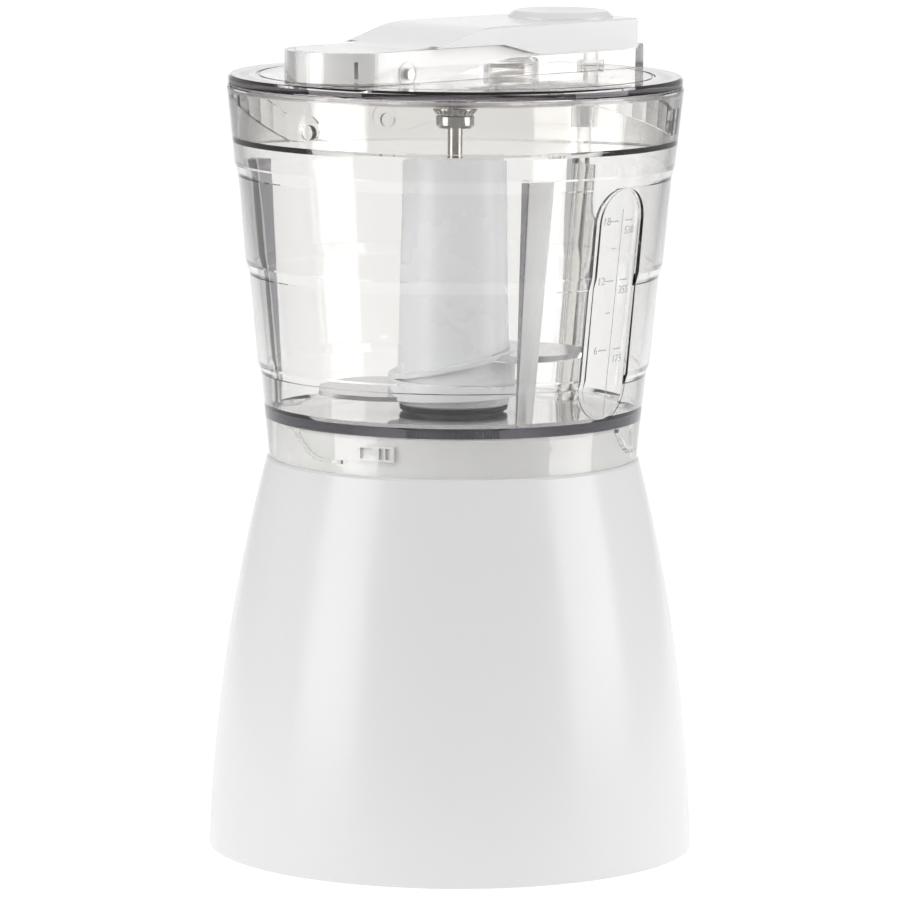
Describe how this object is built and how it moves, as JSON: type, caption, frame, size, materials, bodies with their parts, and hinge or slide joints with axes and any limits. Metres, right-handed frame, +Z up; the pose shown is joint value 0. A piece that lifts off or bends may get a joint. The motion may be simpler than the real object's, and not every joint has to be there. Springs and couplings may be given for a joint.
{
  "type": "mini food processor",
  "caption": "Mini food processor: white round motor base, clear stepped bowl with graduation field and blade unit, clear bayonet lid with a white press lever.",
  "frame": {"origin": "on the bowl's axis at the underside of the feet", "axes": "+Z up along the bowl's axis; -Y is the front, +X is to the right of someone facing the front"},
  "size_m": [0.1406, 0.1406, 0.2424],
  "materials": {
    "housing_white": "gloss",
    "plate_white": "satin",
    "rubber_grey": "matte",
    "rubber_black": "matte",
    "screw_steel": "satin",
    "post_plastic": "matte",
    "core_steel": "matte",
    "coil_brass": "satin",
    "bracket_steel": "satin",
    "bearing_brass": "satin",
    "carbon": "matte",
    "switch_plastic": "matte",
    "fan_plastic": "matte",
    "coupling_plastic": "matte",
    "gasket_rubber": "matte",
    "gasket_clear": "satin",
    "clear_bowl": "gloss",
    "clear_lid": "gloss",
    "clear_part": "gloss",
    "hub_white": "satin",
    "spindle_steel": "polished",
    "spring_steel": "polished",
    "ring_black": "satin",
    "blade_steel": "brushed",
    "lever_white": "gloss"
  },
  "bodies": {
    "base": {"motor_housing": "housing_white", "base_plate": "plate_white", "rubber_feet": "rubber_grey", "base_screws": "screw_steel", "screw_posts": "post_plastic", "stator_core": "core_steel", "field_coils": "coil_brass", "lower_bracket": "bracket_steel", "upper_bracket": "bracket_steel", "bracket_bolts": "screw_steel", "rubber_mounts": "rubber_black", "mount_screws": "screw_steel", "lower_bearing": "bearing_brass", "upper_bearing": "bearing_brass", "brush_holders": "bearing_brass", "carbon_brushes": "carbon", "safety_switch": "switch_plastic", "inlet_gland": "rubber_grey", "deck_seal": "rubber_black"},
    "rotor": {"motor_shaft": "bracket_steel", "armature_core": "core_steel", "armature_windings": "coil_brass", "commutator": "coil_brass", "cooling_fan": "fan_plastic", "drive_coupling": "coupling_plastic"},
    "switch_pin": {"switch_plunger": "hub_white"},
    "bowl_seal": {"bowl_gasket": "gasket_rubber"},
    "bowl": {"bowl": "clear_bowl", "floor_bearing": "hub_white"},
    "rod": {"push_rod": "clear_part"},
    "blades": {"blade_hub": "hub_white", "blade_spindle": "spindle_steel", "base_ring": "ring_black", "driven_coupling": "coupling_plastic", "upper_blade": "blade_steel", "lower_blade": "blade_steel", "spindle_nut": "spindle_steel", "spindle_crown": "spindle_steel"},
    "lid_seal": {"lid_gasket": "gasket_clear"},
    "lid": {"lid": "clear_lid", "lid_bearing": "clear_part", "hinge_pin": "spindle_steel", "lever_spring": "spring_steel"},
    "lever": {"press_lever": "lever_white", "press_button": "lever_white"},
    "plunger": {"lid_plunger": "clear_part"}
  },
  "joints": [
    {"name": "rotor_spin", "type": "hinge", "parent": "base", "child": "rotor", "pos_m": [0, 0, 0.1], "axis": [0, 0, 1], "continuous": true},
    {"name": "switch_pin_slide", "type": "slide", "parent": "base", "child": "switch_pin", "axis": [0, 0, -1], "range_m": [0, 0.0034]},
    {"name": "bowl_lift", "type": "slide", "parent": "base", "child": "bowl_seal", "axis": [0, 0, 1], "range_m": [0, 0.0421]},
    {"name": "bowl_turn", "type": "hinge", "parent": "bowl_seal", "child": "bowl", "pos_m": [0, 0, 0.12], "axis": [0, 0, 1], "range_deg": [-120, 0]},
    {"name": "blade_spin", "type": "hinge", "parent": "bowl", "child": "blades", "pos_m": [0, 0, 0.15], "axis": [0, 0, 1], "continuous": true},
    {"name": "rod_slide", "type": "slide", "parent": "bowl", "child": "rod", "axis": [-0.0701, -0.0725, -0.9949], "range_m": [0, 0.0034]},
    {"name": "lid_lift", "type": "slide", "parent": "bowl", "child": "lid_seal", "axis": [0, 0, 1], "range_m": [0, 0.0361]},
    {"name": "lid_turn", "type": "hinge", "parent": "lid_seal", "child": "lid", "pos_m": [0, 0, 0.22], "axis": [0, 0, 1], "range_deg": [-120, 0]},
    {"name": "lever_press", "type": "hinge", "parent": "lid", "child": "lever", "pos_m": [-0.02501, -0.0259, 0.2285], "axis": [-0.7193, 0.6947, 0], "range_deg": [0, 2], "stiffness_Nm_per_rad": 8, "springref_deg": -1.72, "deforming": ["lever_spring"]},
    {"name": "plunger_slide", "type": "slide", "parent": "lid", "child": "plunger", "axis": [0, 0, -1], "range_m": [0, 0.0034]}
  ],
  "couplings": [
    {"joint": "bowl_lift", "follows": "bowl_turn", "m_per_rad": -0.020054},
    {"joint": "lid_lift", "follows": "lid_turn", "m_per_rad": -0.017189},
    {"joint": "blade_spin", "follows": "rotor_spin", "ratio": 1},
    {"joint": "plunger_slide", "follows": "lever_press", "m_per_rad": 0.0918},
    {"joint": "rod_slide", "follows": "lever_press", "m_per_rad": 0.0918},
    {"joint": "switch_pin_slide", "follows": "lever_press", "m_per_rad": 0.0918}
  ]
}
